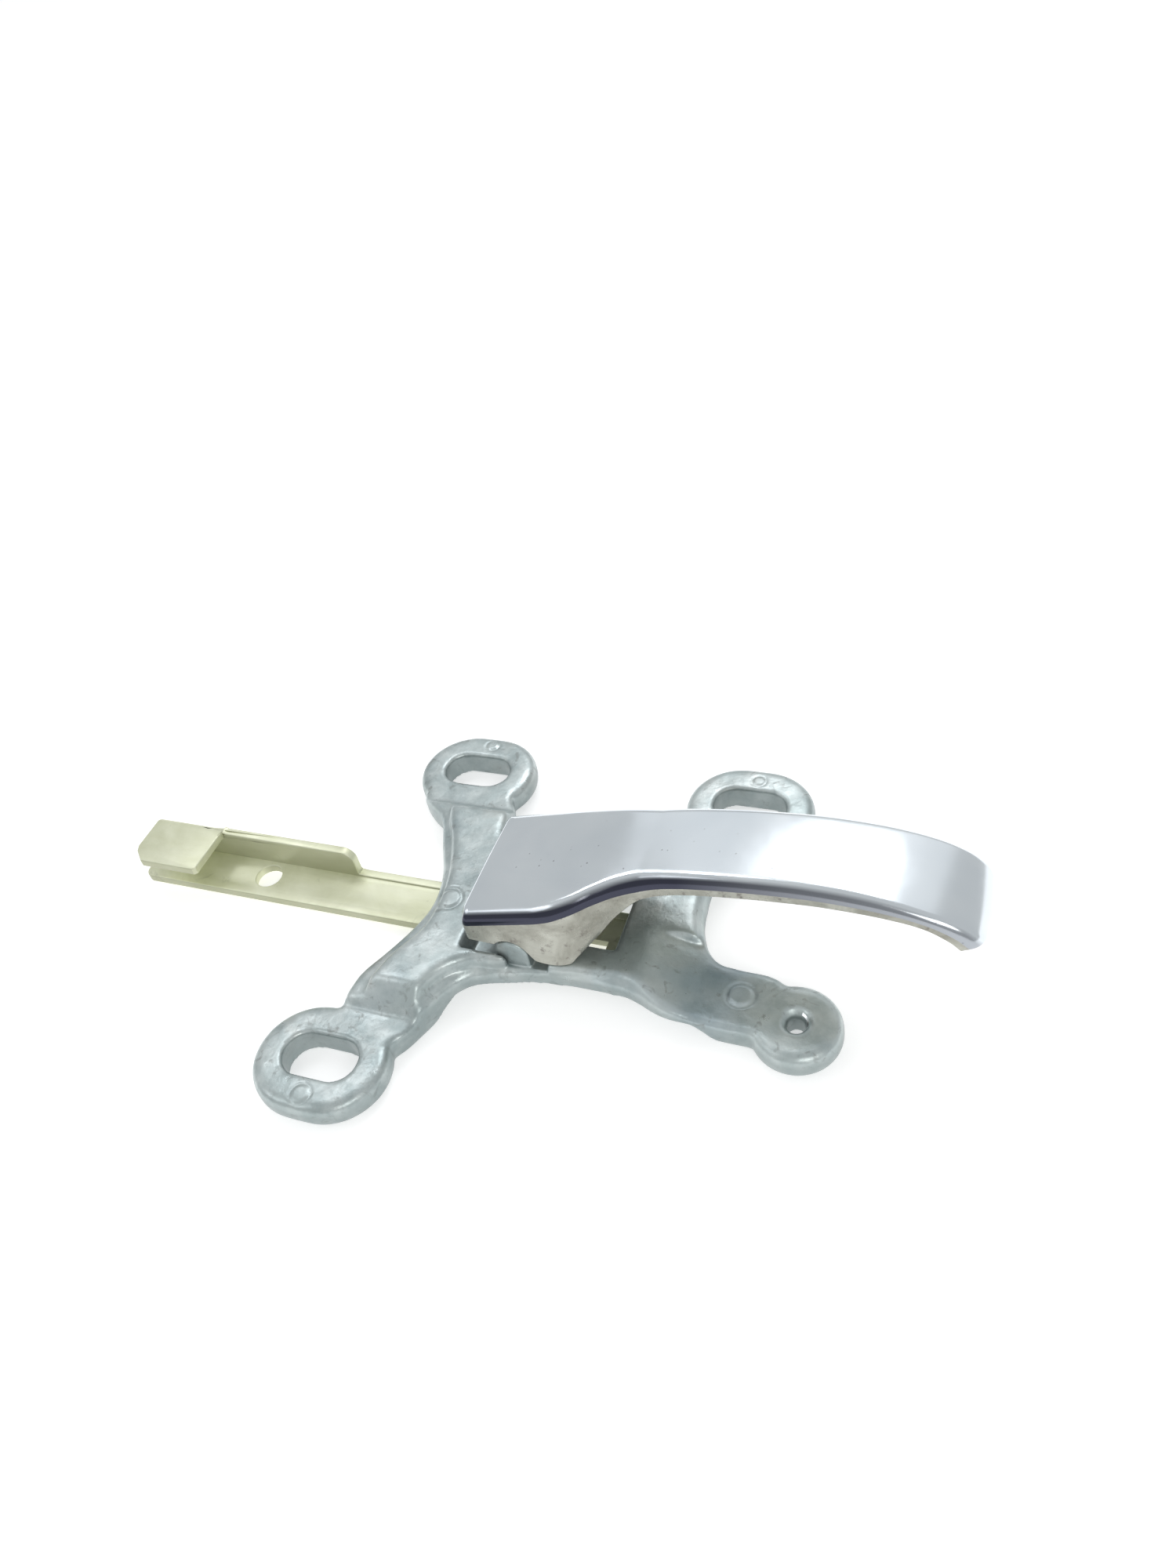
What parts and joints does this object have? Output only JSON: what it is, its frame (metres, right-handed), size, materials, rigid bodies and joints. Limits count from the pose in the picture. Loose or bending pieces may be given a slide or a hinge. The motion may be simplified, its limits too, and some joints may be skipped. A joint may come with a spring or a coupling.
{
  "type": "inside door release handle",
  "caption": "Inside door release handle: polished bow lever on a cross pin in a slotted four-armed cast bracket, moving a folded steel pull bar against a torsion spring.",
  "frame": {"origin": "centre of the base of the bounding box, on the plane of the lugs' undersides", "axes": "+X along the pull bar towards the lever's free end, +Y towards the two rear lugs, +Z away from the mounting face"},
  "size_m": [0.1464, 0.0812, 0.0257],
  "materials": {
    "cast_bracket": "satin, as cast, bluish grey zinc alloy",
    "polished_lever": "polished, plated",
    "plated_bar": "satin, pale yellow zinc plate",
    "bright_pin": "ground",
    "spring_wire": "drawn wire"
  },
  "bodies": {
    "bracket": {"bracket": "cast_bracket", "pivot_pin": "bright_pin", "return_spring": "spring_wire"},
    "lever": {"lever": "polished_lever"},
    "pull_bar": {"pull_bar": "plated_bar"}
  },
  "joints": [
    {"name": "lever_pull", "type": "hinge", "parent": "bracket", "child": "lever", "pos_m": [0.0048, 0.0006, 0.0084], "axis": [0, -1, 0], "range_deg": [0, 32], "stiffness_Nm_per_rad": 0.25, "springref_deg": -20.05, "deforming": ["return_spring"]},
    {"name": "bar_slide", "type": "slide", "parent": "bracket", "child": "pull_bar", "axis": [1, 0, 0], "range_m": [0, 0.0041]}
  ],
  "couplings": [
    {"joint": "bar_slide", "follows": "lever_pull", "m_per_rad": 0.00705}
  ]
}
